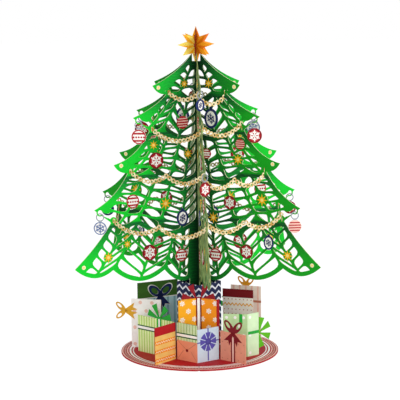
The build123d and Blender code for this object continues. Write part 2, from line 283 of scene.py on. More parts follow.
def leaf(opening):
    """An opening's corners with its two farthest ones doubled: a spline keeps those pointed."""
    points = [Vector(corner) for corner in opening]
    ends = max(combinations(points, 2), key=lambda pair: (pair[0] - pair[1]).length)
    return [point for point in points for _ in range(2 if point in ends else 1)]


def cut_sheet(name, outline, openings, thickness):
    """A flat sheet in millimetres with rounded openings, lying in XY about its middle plane."""
    drawing = bpy.data.curves.new(name, "CURVE")
    drawing.dimensions = "2D"
    drawing.fill_mode = "NONE"
    rings = []
    count = 0
    for kind, points in [("POLY", outline)] + [("NURBS", leaf(opening)) for opening in openings]:
        spline = drawing.splines.new(kind)
        spline.points.add(len(points) - 1)
        for corner, (x, y) in zip(spline.points, points):
            corner.co = (x, y, 0, 1)
        spline.use_cyclic_u = True
        spline.order_u = 3
        spline.resolution_u = bend_steps
        length = len(points) * (1 if kind == "POLY" else bend_steps)
        ring = range(count, count + length)
        rings.append(ring if kind == "POLY" else ring[::-1])
        count += length
    lines = plain_mesh(bpy.data.objects.new(name, drawing))
    corners = [vertex.co.xy for vertex in lines.vertices]
    filled = delaunay_2d_cdt(corners, [], rings, triangles_inside, weld_reach)
    corners, _, faces, _, _, sources = filled
    shape = bmesh.new()
    points = [shape.verts.new((x, y, -thickness / 2)) for x, y in corners]
    for face, source in zip(faces, sources):
        if source == [0]:  # inside the outline, the first ring, and in no opening
            shape.faces.new([points[corner] for corner in face])
    bmesh.ops.delete(shape, geom=[point for point in points if not point.link_faces], context="VERTS")
    raised = bmesh.ops.extrude_face_region(shape, geom=shape.faces[:], use_keep_orig=True)["geom"]
    top = [part for part in raised if isinstance(part, bmesh.types.BMVert)]
    bmesh.ops.translate(shape, vec=(0, 0, thickness), verts=top)
    bmesh.ops.recalc_face_normals(shape, faces=shape.faces)
    open_edges = sum(not edge.is_manifold for edge in shape.edges)
    sheet = bpy.data.meshes.new(name)
    shape.to_mesh(sheet)
    shape.free()
    print(f"{name}: {len(openings)} openings, {len(sheet.polygons)} faces, {open_edges} open edges")
    return sheet


# %% [markdown]
# The leaves are printed on both faces. Each tier is bright at its hem and dark at its root, and
# dry brush strokes run through it. Over the print, painted shade darkens the whole leaf towards
# the spine and nearly to black in the fold beside it. A picture for each wing could hold that.
# Here the height and the distance from the spine drive the ink instead, so one recipe fits all
# wings and keeps its scale.

# %% Needle print
rim_heights = (62, 119, 158, 193, 223, 258)  # where one tier's print ends and the next begins
# Painted shade: the leaf darkens towards the spine, and nearly to black in the fold beside it.
spine_shade_reach = 52 * mm
crease_shade_reach = 20 * mm
spine_shade = 0.95  # how far the ink goes over to the darker one by the spine
stroke_pitch = 2.6 * mm
stroke_strength = 0.35
stroke_wander = 9.0
stroke_gap = 0.7  # share of the pitch that no stroke covers
rim_blur = 0.004  # of the print's height: how soft the line between two tiers is
bright_share = 0.5  # of each tier
wave_period = tau / 20  # a wave texture's period at scale 1


def needle_ink(tip, root, crease_shade):
    """Ink that runs from a bright hem on each tier to a deep root, under painted shade that is deepest by the
    spine.
    """

    def paint(tree, place):
        height = add(tree, "ShaderNodeSeparateXYZ", {"Vector": place}).outputs["Z"]
        low, high = rim_heights[0] * mm, rim_heights[-1] * mm
        ramp = add(tree, "ShaderNodeValToRGB", {"Fac": span(tree, height, low, high)})
        stops = ramp.color_ramp.elements
        stops[0].color = linear(tip)
        stops[1].color = linear(root)
        for bottom, top in pairwise((rim * mm - low) / (high - low) for rim in rim_heights):
            stops.new(bottom + rim_blur).color = linear(tip)
            stops.new(bottom + bright_share * (top - bottom)).color = linear(tip)
            stops.new(top).color = linear(root)
        reach = from_spine(tree, place)
        # Painted shade towards the spine.
        inner = span(tree, reach, 0, spine_shade_reach, spine_shade, 0)
        shaded = blend(tree, inner, ramp.outputs["Color"], root)
        brush = {"Vector": place, "Scale": wave_period / stroke_pitch, "Detail": 2.0}
        brush |= {"Distortion": stroke_wander}
        stroke = add(tree, "ShaderNodeTexWave", brush, bands_direction="Z").outputs["Fac"]
        needles = blend(tree, span(tree, stroke, stroke_gap, 1, 0, stroke_strength), shaded, tip)
        # Painted shade, nearly black, in the fold by the spine.
        depth = span(tree, reach, 0, crease_shade_reach, spine_shade, 0)
        return blend(tree, depth, needles, crease_shade)

    return paint


# Satin greens, strong at the hems, with painted shade nearly black in the folds by the spine:
# a painted-light copy and two painted-shade copies of one print.
lit_needles = printed_card("bright_green_card", needle_ink("#07cd2c", "#045a2c", "#01230e"))
shade_needles = printed_card("deep_green_card", needle_ink("#0a9a16", "#033d20", "#032a15"))
# Deeper painted shade: an olive copy for the left faces of the front and back leaves.
middle_wing_shade_needles = printed_card("dull_green_card", needle_ink("#4e7d38", "#3a5226", "#24341a"))
# Bare card, rougher than ink: a thin dull line that draws every opening.
cut_edge = printed_card("pale_card_core", "#e4efbe", roughness=0.75)
# Painted shade: the front and back leaves' cut edges are darkened to olive.
middle_wing_shade_core = printed_card("tinted_card_core", "#8a9a5e", roughness=0.75)
print(f"{len(rim_heights) - 1} tiers of needles, a stroke every {stroke_pitch / mm:.1f} mm")

# %% [markdown]
# Six leaves stand round the spine. Their angles could be typed in again. Here each direction is
# read from the solid's own farthest tip, so the new sheet falls on the solid whatever its angle.
# Faces that look right are painted brighter than faces that look left, as in the portrait: painted
# light and painted shade. The front and back leaves get deeper painted shade on the left and on
# their cut edges.

# %% Six wings
wing_names = ("front", "front_right", "back_right", "back", "back_left", "front_left")
middle_wings = ("front", "back")
slot_of = {row["node"]: row["material_slot"] for row in frame["record"]["subparts"]}
tip_slack = 0.5 * mm  # corners as near as this to the farthest one are its tip
cut_edge_lean = 0.5  # a face whose normal leans out of the sheet's plane by less is a cut edge
wing_planes = {}


def sheet_frame(origin, along, across):
    """Matrix that carries a drawing in millimetres onto a plane, with its faces square to it."""
    normal = along.cross(across)
    turn = Matrix((along, across, normal)).transposed().to_4x4()
    return Matrix.Translation(origin) @ turn @ Matrix.Diagonal((mm, mm, mm, 1))


def stand(name, mesh, body, replaced=()):
    """Make a mesh that already lies in place a piece of the card."""
    piece = add_object(name, mesh)
    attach(piece, body)
    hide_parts(*replaced)


for name in wing_names:
    solid = nodes[name + "_wing"]
    corners = [vertex.co for vertex in solid.data.vertices]
    farthest = max(hypot(co.x, co.y) for co in corners)
    tip = sum((co for co in corners if hypot(co.x, co.y) > farthest - tip_slack), Vector())
    out = Vector((tip.x, tip.y, 0)).normalized()
    normal = out.cross(up)
    thickness = 2 * max(co.dot(normal) for co in corners)
    loops = [[(co.dot(out) / mm, co.z / mm) for co in loop] for loop in face_loops(solid, normal)]
    loops.sort(key=lambda loop: max(y for x, y in loop) - min(y for x, y in loop), reverse=True)
    sheet = cut_sheet(name + "_wing_cut", loops[0], loops[1:], thickness / mm)
    left_face_shade, core = shade_needles, cut_edge
    if name in middle_wings:
        left_face_shade, core = middle_wing_shade_needles, middle_wing_shade_core
    # Faces that look right take the painted-light green; faces that look left take painted shade.
    faces = [lit_needles, left_face_shade] if normal.x > 0 else [left_face_shade, lit_needles]
    for paper in (*faces, core):
        sheet.materials.append(paper)
    for face in sheet.polygons:
        face.material_index = 2 if abs(face.normal.z) < cut_edge_lean else 0 if face.normal.z > 0 else 1
    wing_planes[name] = (sheet_frame(Vector(), out, up), thickness / mm)
    sheet.transform(wing_planes[name][0])
    stand(name + "_wing_cut", sheet, "card", [name + "_wing"])

# %% [markdown]
# ## The garlands
# A garland is a strip of paper punched into a chain of small rings. Each ring could be placed by
# hand, but the links repeat along a swag at one pitch. So Geometry Nodes resample the swag's line
# and set one ring on each point. The line is read back from the solid, a plain beaded strip.


# %% Links along a path
def interface(tree, result, **inputs):
    """Name a node tree's inputs and its one result, and return its input sockets."""
    for label, kind in inputs.items():
        tree.interface.new_socket(label, in_out="INPUT", socket_type="NodeSocket" + kind)
    tree.interface.new_socket(result, in_out="OUTPUT", socket_type="NodeSocketGeometry")
    return add(tree, "NodeGroupInput").outputs


def realize(tree, instances, paper, result):
    """End a node tree: its instances become one plain mesh of one paper."""
    solid = add(tree, "GeometryNodeRealizeInstances", {"Geometry": instances}).outputs["Geometry"]
    dressed = add(tree, "GeometryNodeSetMaterial", {"Geometry": solid, "Material": paper})
    add(tree, "NodeGroupOutput", {result: dressed.outputs["Geometry"]})
    print(f"{tree.name}: {len(tree.nodes)} nodes")


def grow(tree, base, **values):
    """Run a node tree on a mesh with these inputs, and return the result as a plain mesh."""
    thing = bpy.data.objects.new(tree.name, base)
    growth = thing.modifiers.new(tree.name, "NODES")
    growth.node_group = tree
    for socket in tree.interface.items_tree:
        if socket.in_out == "INPUT" and socket.name in values:
            growth[socket.identifier] = values[socket.name]
    return plain_mesh(thing)


chain_tree = bpy.data.node_groups.new("Links along a path", "GeometryNodeTree")
given = interface(chain_tree, "Chain", Path="Geometry", Link="Object", Pitch="Float", Paper="Material")
line = add(chain_tree, "GeometryNodeMeshToCurve", {"Mesh": given["Path"]})
spaced = {"Curve": line.outputs["Curve"], "Length": given["Pitch"]}
stops = add(chain_tree, "GeometryNodeResampleCurve", spaced, mode="LENGTH")
link_shape = add(chain_tree, "GeometryNodeObjectInfo", {"Object": given["Link"]})
linked = {"Points": stops.outputs["Curve"], "Instance": link_shape.outputs["Geometry"]}
links = add(chain_tree, "GeometryNodeInstanceOnPoints", linked)
realize(chain_tree, links.outputs["Instances"], given["Paper"], "Chain")

# %% Twenty-four garlands
link_radius = 2.0
link_hole = 0.42  # share of the radius
link_steps = 14
link_pitch = 3.6
garland_card = 0.4
strip_height = 1.0  # in mm: where corners span less, only one edge of the strip has any
# The size of the patches of painted highlight on the gold links.
glint_patch_size = 2.4 * mm


def mesh_of(name, points, edges, faces):
    """A plain mesh."""
    mesh = bpy.data.meshes.new(name)
    mesh.from_pydata(points, edges, faces)
    return mesh


def hoop(name, inner, steps):
    """A closed flat ring of radius 1, one unit thick."""
    angles = [tau * step / steps for step in range(steps)]
    rims = ((1, -0.5), (1, 0.5), (inner, 0.5), (inner, -0.5))
    points = [(r * cos(a), r * sin(a), z) for a in angles for r, z in rims]
    faces = []
    for step in range(steps):
        here, there = 4 * step, 4 * ((step + 1) % steps)
        faces += [(here + i, there + i, there + (i + 1) % 4, here + (i + 1) % 4) for i in range(4)]
    return mesh_of(name, points, [], faces)


def garland_ink(tree, place):
    """Gold ink in random patches of brown-gold and of cream, the cream a painted highlight."""
    patch = noise(tree, place, glint_patch_size, 1.0)
    return blend(tree, span(tree, patch, 0.38, 0.62), "#fcebc0", "#c79a4c")


# A slightly smoother ink: the rings are cream in random patches, which is painted highlight, and brown-gold
# elsewhere.
garland_paper = printed_card("gold_printed_card", garland_ink, roughness=0.5)

ring_mesh = hoop("paper_link", link_hole, link_steps)
ring_mesh.transform(Matrix.Diagonal((link_radius, link_radius, garland_card, 1)))
paper_link = bpy.data.objects.new("paper_link", ring_mesh)

garlands = [name for name in nodes if name.startswith("garland")]
for name in garlands:
    corners = [vertex.co for vertex in nodes[name].data.vertices]
    middle = sum(corners, Vector()) / len(corners)
    start = max(corners, key=lambda co: (co.xy - middle.xy).length)
    end = max(corners, key=lambda co: (co.xy - start.xy).length)
    run = Vector((end.x - start.x, end.y - start.y, 0)).normalized()
    heights = {}
    for co in corners:
        heights.setdefault(round((co - start).dot(run) / mm, 1), []).append(co.z / mm)
    swag = [
        (u, (min(z) + max(z)) / 2)
        for u, z in sorted(heights.items())
        if max(z) - min(z) > strip_height
    ]
    path = mesh_of("swag", [(u, z, 0) for u, z in swag], list(pairwise(range(len(swag)))), [])
    beads = grow(chain_tree, path, Link=paper_link, Pitch=link_pitch, Paper=garland_paper)
    across = sum((co - start).dot(run.cross(up)) for co in corners) / len(corners)
    foot = Vector((start.x, start.y, 0)) + run.cross(up) * across
    beads.transform(sheet_frame(foot, run, up))
    stand(name + "_chain", beads, "card", [name])
print(f"{len(garlands)} garlands strung")

# %% [markdown]
# ## Printed motifs
# A few motifs come back all over the card, in several sizes and on many sheets. One way is a
# texture for each sheet. Here a motif is a stack of thin inked shapes instead, each a few
# hundredths of a millimetre prouder than the one below, so that one snowflake serves them all.
# Each shape goes through its sheet and shows on both faces. A snowflake or a star is one arm
# repeated about a centre, which is work for Geometry Nodes.

# %% Spokes about a centre
spoke_tree = bpy.data.node_groups.new("Spokes about a centre", "GeometryNodeTree")
given = interface(spoke_tree, "Wheel", Arm="Geometry", Count="Int", Paper="Material")
hub = add(spoke_tree, "GeometryNodeMeshLine", {"Count": given["Count"], "Offset": (0, 0, 0)})
order = add(spoke_tree, "GeometryNodeInputIndex").outputs["Index"]
angle = maths(spoke_tree, "MULTIPLY", order, maths(spoke_tree, "DIVIDE", tau, given["Count"]))
turn = add(spoke_tree, "ShaderNodeCombineXYZ", {"Z": angle})
placed = {"Points": hub.outputs["Mesh"], "Instance": given["Arm"], "Rotation": turn.outputs["Vector"]}
arms = add(spoke_tree, "GeometryNodeInstanceOnPoints", placed)
realize(spoke_tree, arms.outputs["Instances"], given["Paper"], "Wheel")

# %% [markdown]
# A printer keeps a few blocks and uses them again and again. These are ours, all of unit size, so
# that a block's size is given only where it is used: discs, bars, rings, forked ribbon ends, and
# three wheels that the node tree above grows from one arm each.


# %% The printer's shapes
def prism(name, outline):
    """A closed prism one unit thick over a flat outline."""
    count = len(outline)
    points = [(x, y, z) for z in (-0.5, 0.5) for x, y in outline]
    faces = [tuple(range(count))[::-1], tuple(range(count, 2 * count))]
    faces += [(i, (i + 1) % count, count + (i + 1) % count, count + i) for i in range(count)]
    return mesh_of(name, points, [], faces)


def round_outline(steps):
    """The corners of a circle of radius 1."""
    return [(cos(tau * step / steps), sin(tau * step / steps)) for step in range(steps)]


def mirrored(points):
    """An outline along X from the points of its lower side."""
    return points + [(x, -y) for x, y in reversed(points) if y]


snow_arm = mirrored([(0, -0.1), (0.4, -0.1), (0.62, -0.34), (0.8, -0.24), (0.66, -0.1), (1, -0.1)])
star_ray = mirrored([(0, 0), (0.34, -0.15), (1, 0)])
petal = mirrored([(0.12, 0), (0.7, -0.25), (1, -0.33)])
forked_end = [(0, -0.1), (1, -0.3), (0.74, 0), (1, 0.3), (0, 0.1)]
wheels = {"snowflake": (snow_arm, 6), "star": (star_ray, 8), "rosette": (petal, 8)}
flats = {
    "disc": prism("disc", round_outline(24)),
    "bar": prism("bar", [(-0.5, -0.5), (0.5, -0.5), (0.5, 0.5), (-0.5, 0.5)]),
    "loop": hoop("loop", 0.56, 24),
    "rim": hoop("rim", 0.84, 32),
    "ribbon_end": prism("ribbon_end", forked_end),
}
for name, (arm, count) in wheels.items():
    flats[name] = grow(spoke_tree, prism(name, arm), Count=count, Paper=inks["white"])
print("blocks:", ", ".join(flats))

# %% [markdown]
# All inks on one sheet belong together: they move with it and are one piece. So a print gathers
# its shapes in the sheet's own flat coordinates, and is laid on the sheet once, at the end.

# %% A print on one sheet
ink_step = 0.04  # how much prouder each ink stands than the one below it, in mm


class Print:
    """Inked shapes on one flat sheet, gathered as one mesh. Places and sizes are in millimetres."""

    def __init__(self, name, plane, thickness):
        self.name = name
        self.plane = plane
        self.thickness = thickness
        self.shape = bmesh.new()
        self.inks = []

    def press(self, shape, ink, place, layer):
        """Add a copy of a shape, laid by a matrix in the sheet's plane."""
        if ink not in self.inks:
            self.inks.append(ink)
        mark = shape.copy()
        depth = self.thickness + 2 * layer * ink_step
        mark.transform(place @ Matrix.Diagonal((1, 1, depth, 1)))
        mark.polygons.foreach_set("material_index", [self.inks.index(ink)] * len(mark.polygons))
        self.shape.from_mesh(mark)
        bpy.data.meshes.remove(mark)

    def stamp(self, shape, ink, x, y, width, height=None, layer=1, turn=0):
        """Add one of the printer's shapes, turned by so many degrees."""
        size = Matrix.Diagonal((width, width if height is None else height, 1, 1))
        place = Matrix.Translation((x, y, 0)) @ Matrix.Rotation(radians(turn), 4, "Z") @ size
        self.press(flats[shape], ink, place, layer)

    def bar(self, ink, left, low, right, high, layer=1):
        """Add a rectangle."""
        self.stamp("bar", ink, (left + right) / 2, (low + high) / 2, right - left, high - low, layer)

    def zigzag(self, ink, left, right, y, pitch, rise, weight, layer=1):
        """Add a row of strokes that go up and down by turns."""
        strokes = round(2 * (right - left) / pitch)
        run = (right - left) / strokes
        slope = hypot(run, rise)
        for stroke in range(strokes):
            tilt = (1 - 2 * (stroke % 2)) * asin(rise / slope)
            place = (left + (stroke + 0.5) * run, y)
            self.stamp("bar", ink, *place, slope + weight / 2, weight, layer, degrees(tilt))

    def finish(self, body="card"):
        """Lay the print on its sheet and let it ride on the sheet's body."""
        mesh = bpy.data.meshes.new(self.name)
        self.shape.to_mesh(mesh)
        self.shape.free()
        for ink in self.inks:
            mesh.materials.append(inks[ink])
        mesh.transform(self.plane)
        stand(self.name, mesh, body)


print(f"each ink stands {ink_step} mm proud of the one below")

# %% [markdown]
# The motifs are the plain ones of such cards: balls with snowflakes, dots or bands, a drop with a
# window, and stars. Each is drawn from the blocks about a middle, at any radius.


# %% Motifs
band_reach = 0.96  # share of the chord that a band covers
snow_turn = 30  # degrees: an arm stands upright


def chord_bar(sheet, ink, x, y, radius, height, weight, layer):
    """A band across a disc, at this share of its radius above the middle."""
    half = radius * band_reach * sqrt(1 - height * height)
    middle = y + height * radius
    sheet.bar(ink, x - half, middle - weight / 2, x + half, middle + weight / 2, layer)


def snow_ball(sheet, x, y, radius, ground="crimson", mark="white", trim="deep_red"):
    """A ball with a snowflake inside a rim."""
    sheet.stamp("disc", ground, x, y, radius)
    sheet.stamp("rim", trim, x, y, radius, layer=2)
    sheet.stamp("snowflake", mark, x, y, 0.8 * radius, layer=2, turn=snow_turn)


def dotted_ball(sheet, x, y, radius, ground="white", mark="crimson"):
    """A ball with two bands and a row of dots."""
    sheet.stamp("disc", ground, x, y, radius)
    for height in (-0.55, 0.45):
        chord_bar(sheet, mark, x, y, radius, height, 0.24 * radius, 2)
    for place in range(-2, 3):
        sheet.stamp("disc", mark, x + 0.36 * place * radius, y - 0.06 * radius, 0.13 * radius, layer=2)
    sheet.stamp("rim", mark, x, y, radius, layer=3)


def striped_ball(sheet, x, y, radius, ground="crimson", mark="blush"):
    """A ball with bands."""
    sheet.stamp("disc", ground, x, y, radius)
    for height in (-0.6, -0.2, 0.2, 0.6):
        chord_bar(sheet, mark, x, y, radius, height, 0.17 * radius, 2)


def navy_drop(sheet, x, y, radius):
    """A tall oval drop with a pale window and a snowflake in it."""
    sheet.stamp("disc", "navy", x, y, 0.78 * radius, radius)
    sheet.stamp("bar", "navy", x, y + 1.05 * radius, 0.3 * radius, 0.3 * radius)
    sheet.stamp("disc", "white", x, y, 0.54 * radius, 0.76 * radius, layer=2)
    sheet.stamp("snowflake", "navy", x, y, 0.44 * radius, 0.6 * radius, layer=3, turn=snow_turn)


def gold_star(sheet, x, y, radius):
    """An eight-pointed star with a pale heart."""
    sheet.stamp("star", "gold", x, y, radius)
    sheet.stamp("disc", "straw", x, y, 0.26 * radius, layer=2)


def tip_dot(sheet, x, y, radius):
    """A pale dot near the tip of a tier."""
    sheet.stamp("disc", "cream", x, y, radius)
    sheet.stamp("disc", "straw", x, y, 0.55 * radius, layer=2)


motifs = (snow_ball, dotted_ball, striped_ball, navy_drop, gold_star, tip_dot)
print("motifs:", ", ".join(motif.__name__ for motif in motifs))

# %% [markdown]
# The wings keep a solid island of card for each printed ornament. The places below are those
# islands, out from the spine and up from the floor, so they are written once for all wings. Left
# and right wings carry different motifs, and the two rear wings reach less far at the hem.

# %% Prints on the wings
right_hand_wings = ("front_right", "back_left", "back")
short_wings = ("back_left", "back_right")
left_prints = [
    (gold_star, 12, 232.5, 3.8),
    (striped_ball, 14, 200, 5.4),
    (gold_star, 42, 182.8, 4.2),
    (snow_ball, 39.7, 169.6, 6.8),
    (gold_star, 9.2, 172.9, 4.4),
    (dotted_ball, 62.4, 136.9, 5.8),
    (gold_star, 31.5, 132.3, 5.6),
    (navy_drop, 15.3, 118.3, 7.0),
]
right_prints = [
    (gold_star, 12, 232.5, 4.4),
    (navy_drop, 14, 203, 8.4),
    (striped_ball, 42, 182.8, 4.4),
    (gold_star, 39.7, 169.6, 5.0),
    (dotted_ball, 9.2, 172.9, 4.2),
    (gold_star, 62.4, 136.9, 5.4),
    (snow_ball, 31.5, 132.3, 5.8),
    (gold_star, 15.3, 118.3, 5.2),
]
left_hem = [(snow_ball, 6.8), (gold_star, 3.8), (gold_star, 5.0), (dotted_ball, 5.4)]
right_hem = [(snow_ball, 6.0), (navy_drop, 6.0), (gold_star, 5.2), (dotted_ball, 5.6)]
full_hem_places = [(47.3, 91.6), (68.4, 101.1), (86.2, 91.7), (17, 86.1)]
short_hem_places = [(41.6, 92.6), (59.6, 101.1), (72.8, 92.8), (14.5, 86.6)]
side_dots = [(36.6, 230.6), (72.6, 167.8)]
middle_dots = [(54.6, 204.6), (91.4, 131.2)]
full_hem_dot = (109, 85.6)
short_hem_dot = (81, 86)
tip_dot_radius = 1.75

for name, (plane, thickness) in wing_planes.items():
    on_right = name in right_hand_wings
    hem_places, hem_dot = full_hem_places, full_hem_dot
    if name in short_wings:
        hem_places, hem_dot = short_hem_places, short_hem_dot
    hem = zip(right_hem if on_right else left_hem, hem_places)
    sheet = Print(name + "_wing_print", plane, thickness)
    for motif, out, high, radius in right_prints if on_right else left_prints:
        motif(sheet, out, high, radius)
    for (motif, radius), place in hem:
        motif(sheet, *place, radius)
    for place in (middle_dots if name in middle_wings else side_dots) + [hem_dot]:
        tip_dot(sheet, *place, tip_dot_radius)
    sheet.finish()
print(f"{len(wing_planes)} wings printed")

# %% [markdown]
# ## Hanging ornaments
# Each ornament is a flat card disc on a ring, and swings on its hook. A picture on the disc would
# do, but the motifs are there already, so each disc gets one, and the print rides on the same
# body. The disc's middle and size are read from the solid: the ring stands above it.

# %% Ornaments
ornament_grounds = {
    "ornament_red": "#bb1a26",
    "ornament_navy": "#22336b",
    "ornament_pale": "#eef0f2",
    "ornament_striped": "#f4ece4",
}
ring_silver = "#9aa2aa"  # cool grey: reads as metal beside the warm inks
print_share = 0.97  # of the disc's radius: a thin edge of the disc's own card shows
ornament_motifs = {
    "ornament_red": (snow_ball,),
    "ornament_navy": (navy_drop,),
    "ornament_pale": (snow_ball, "white", "slate", "slate"),
    "ornament_striped": (dotted_ball,),
    "lower_striped": (striped_ball, "blush", "crimson"),
}


def ornament_ink(ground, disc_top):
    """The disc's colour, and silvery card above it for the ring."""

    def paint(tree, place):
        height = add(tree, "ShaderNodeSeparateXYZ", {"Vector": place}).outputs["Z"]
        above = maths(tree, "GREATER_THAN", height, disc_top)
        return blend(tree, above, ground, ring_silver)

    return paint


for joint in frame["joints"]:
    name = joint["child"]
    solid = nodes[name]
    normal = Vector(joint["axis"])
    along = up.cross(normal)
    pivot = Vector(joint["pos_m"])
    corners = [vertex.co - pivot for vertex in solid.data.vertices]
    radius = max(abs(co.dot(along)) for co in corners)
    thickness = 2 * max(abs(co.dot(normal)) for co in corners)
    centre = pivot + up * (min(co.z for co in corners) + radius)
    slot = slot_of[name]
    paper = printed_card(name + "_card", ornament_ink(ornament_grounds[slot], centre.z + radius))
    cover(solid, paper)
    sheet = Print(name + "_print", sheet_frame(centre, along, up), thickness / mm)
    kind = "lower_striped" if slot == "ornament_striped" and "lower" in name else slot
    motif, *tones = ornament_motifs[kind]
    motif(sheet, 0, 0, print_share * radius / mm, *tones)
    sheet.finish(name)

# %% [markdown]
# ## The base
# The base is a round board that folds across the middle, printed red with a lace border. Each loop
# of the lace could be drawn by hand. It is a chain of small loops, so it is the garlands' node
# tree again, run round a circle.

# %% Base
_, base_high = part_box("base")
board_plane = sheet_frame(Vector((0, 0, base_high.z)), Vector((1, 0, 0)), Vector((0, 1, 0)))
band_steps = 120
border_bands = ((57.2, 58.2, "white"), (59.4, 61.0, "white"), (62.2, 67.4, "blush"))
shade_start, shade_end = 20 * mm, 50 * mm
fold_reach, fold_half_width = 62, 0.2  # the line of the board's fold


def board_ink(tree, place):
    """Red that deepens towards the middle, under the tree: painted shade."""
    inner = span(tree, from_spine(tree, place), shade_start, shade_end)
    return blend(tree, inner, "#7b0b16", "#b00f1c")


# Thick board under a deep red: the one large dark ground, which makes the pale gifts stand out.
cover(nodes["base"], printed_card("red_board", board_ink))
board = Print("base_print", board_plane, 0)
for inner, outer, ink in border_bands:
    band = hoop("band", inner / outer, band_steps)
    board.press(band, ink, Matrix.Diagonal((outer, outer, 1, 1)), 1)
board.bar("deep_red", -fold_half_width, -fold_reach, fold_half_width, fold_reach, layer=2)
board.finish()

lace_radius = 64.8
lace_pitch = 2.55
lace_loop = 1.75
lace_height = 0.2
lace_hole = 0.5  # share of the loop's radius
lace_steps = 12
lace_mesh = hoop("lace_loop", lace_hole, lace_steps)
lace_mesh.transform(Matrix.Diagonal((lace_loop, lace_loop, lace_height, 1)))
lace_link = bpy.data.objects.new("lace_loop", lace_mesh)
lace_points = [(lace_radius * x, lace_radius * y, 0) for x, y in round_outline(band_steps)]
lace_sides = [(step, (step + 1) % band_steps) for step in range(band_steps)]
ring = mesh_of("lace_path", lace_points, lace_sides, [])
lace = grow(chain_tree, ring, Link=lace_link, Pitch=lace_pitch, Paper=inks["crimson"])
lace.transform(board_plane)
stand("base_lace", lace, "card")
print(f"lace: about {tau * lace_radius / lace_pitch:.0f} loops round the board")

# %% [markdown]
# ## The trunk sleeve
# A square paper sleeve hides the foot of the spine. It is printed like a knitted jumper, in rows
# of zigzag. Stamped bars would need a fold at each corner, so the rows are worked out in the ink
# itself, from the distance to the middle and the height, and go round the corners by themselves.

# %% Trunk sleeve
knit_pitch = 5.6 * mm
knit_rise = 3.2 * mm
knit_row = 5.8 * mm
white_share = 0.3  # of each row


def knit_ink(tree, place):
    """Rows of white zigzag on navy, folded round the sleeve's corners."""
    split = add(tree, "ShaderNodeSeparateXYZ", {"Vector": place}).outputs
    fold = maths(tree, "PINGPONG", maths(tree, "ABSOLUTE", split["X"]), knit_pitch / 2)
    bent = maths(tree, "MULTIPLY_ADD", fold, 2 * knit_rise / knit_pitch, split["Z"])
    part = maths(tree, "FRACT", maths(tree, "MULTIPLY", bent, 1 / knit_row))
    white = maths(tree, "LESS_THAN", part, white_share)
    return blend(tree, white, "#16204a", "#e9ecf4")


# Satin card in two far-apart tones: the busy little pattern that sets off the foot of the tree.
cover(nodes["trunk_sleeve"], printed_card("navy_knit_card", knit_ink))
print(f"sleeve: a row every {knit_row / mm:.1f} mm")

# %% [markdown]
# ## The star
# The star is folded from one sheet of gold card into vanes, and printed so that one half of each
# point is lighter than the other, as if it were faceted. Two materials on cut-up faces would do
# that. Here the angle about the star's middle picks the tone, so the mesh stays as it is.

# %% Star
star_low, star_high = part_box("star")
star_middle = star_high.z - (star_high.x - star_low.x) / 2
star_points = 8


def facet_ink(tree, place):
    """Two printed golds by turns round the points; the deeper oranges on the right and the brown front vane are
    painted shade.
    """
    split = add(tree, "ShaderNodeSeparateXYZ", {"Vector": place}).outputs
    rise = maths(tree, "SUBTRACT", split["Z"], star_middle)
    angle = maths(tree, "ARCTAN2", rise, from_spine(tree, place))
    part = maths(tree, "FRACT", maths(tree, "MULTIPLY", angle, star_points / tau))
    half = maths(tree, "GREATER_THAN", part, 0.5)
    on_left = blend(tree, half, "#ffe060", "#ffb21c")
    # Painted shade: the right half's golds are a deeper orange copy of the left's.
    on_right = blend(tree, half, "#ffa61c", "#ec7c0c")
    golds = blend(tree, maths(tree, "GREATER_THAN", split["X"], 0.0), on_left, on_right)
    # Painted shade: the front vane, which faces aside, is brown.
    ahead = maths(tree, "MULTIPLY", split["Y"], -0.5)
    front = maths(tree, "GREATER_THAN", ahead, maths(tree, "ABSOLUTE", split["X"]))
    return blend(tree, front, golds, "#7a1c0c")


# The smoothest card of all: its sheen makes the top of the tree the brightest spot.
cover(nodes["star"], printed_card("gold_foil_card", facet_ink, roughness=0.42))
print(f"star: {star_points} points about a middle {star_middle / mm:.0f} mm up")

# %% [markdown]
# ## Gifts
# Each gift is one upright panel, or two that meet at a fold, with its bow cut in one piece. The
# panels could be measured by hand and typed in. Here they are read from the solid: the large
# upright faces on the side that is seen, each with its foot on the board. The bow takes its own
# colour above or beside the panels.


# %% Read a gift's panels
least_panel = 60 * mm * mm
foot_slack = 0.05 * mm
edge_on = 0.1  # cosine: a face that looks further aside than this isn't seen


def panels(name):
    """A gift's panels, left to right as seen: (plane, width, height, thickness) in millimetres."""
    mesh = nodes[name].data
    seen_from = Vector((0, 1 if name.startswith("back_") else -1, 0))
    groups = {}
    for face in mesh.polygons:
        if face.normal.dot(seen_from) > edge_on and abs(face.normal.z) < edge_on:
            key = (round(face.normal.x, 2), round(face.normal.y, 2))
            groups.setdefault(key, []).append(face)
    foot_height = min(vertex.co.z for vertex in mesh.vertices)
    found = []
    for faces in groups.values():
        if sum(face.area for face in faces) < least_panel:
            continue
        normal = Vector((faces[0].normal.x, faces[0].normal.y, 0)).normalized()
        along = up.cross(normal)
        corners = [mesh.vertices[i].co for face in faces for i in face.vertices]
        feet = sorted(co.dot(along) for co in corners if co.z < foot_height + foot_slack)
        start, end = feet[0], feet[-1]
        sides = [co for co in corners if min(abs(co.dot(along) - u) for u in (start, end)) < foot_slack]
        tall = max(co.z for co in sides) - foot_height
        front = corners[0].dot(normal)
        back_faces = [face for face in mesh.polygons if face.normal.dot(normal) < -one_plane]
        thickness = front - max(face.center.dot(normal) for face in back_faces)
        origin = along * start + normal * (front - thickness / 2) + up * foot_height
        from_right = origin.dot(seen_from.cross(up))
        found.append((from_right, sheet_frame(origin, along, up), end - start, tall, thickness))
    found.sort(key=lambda row: -row[0])
    return [(plane, *(size / mm for size in sizes)) for _, plane, *sizes in found]


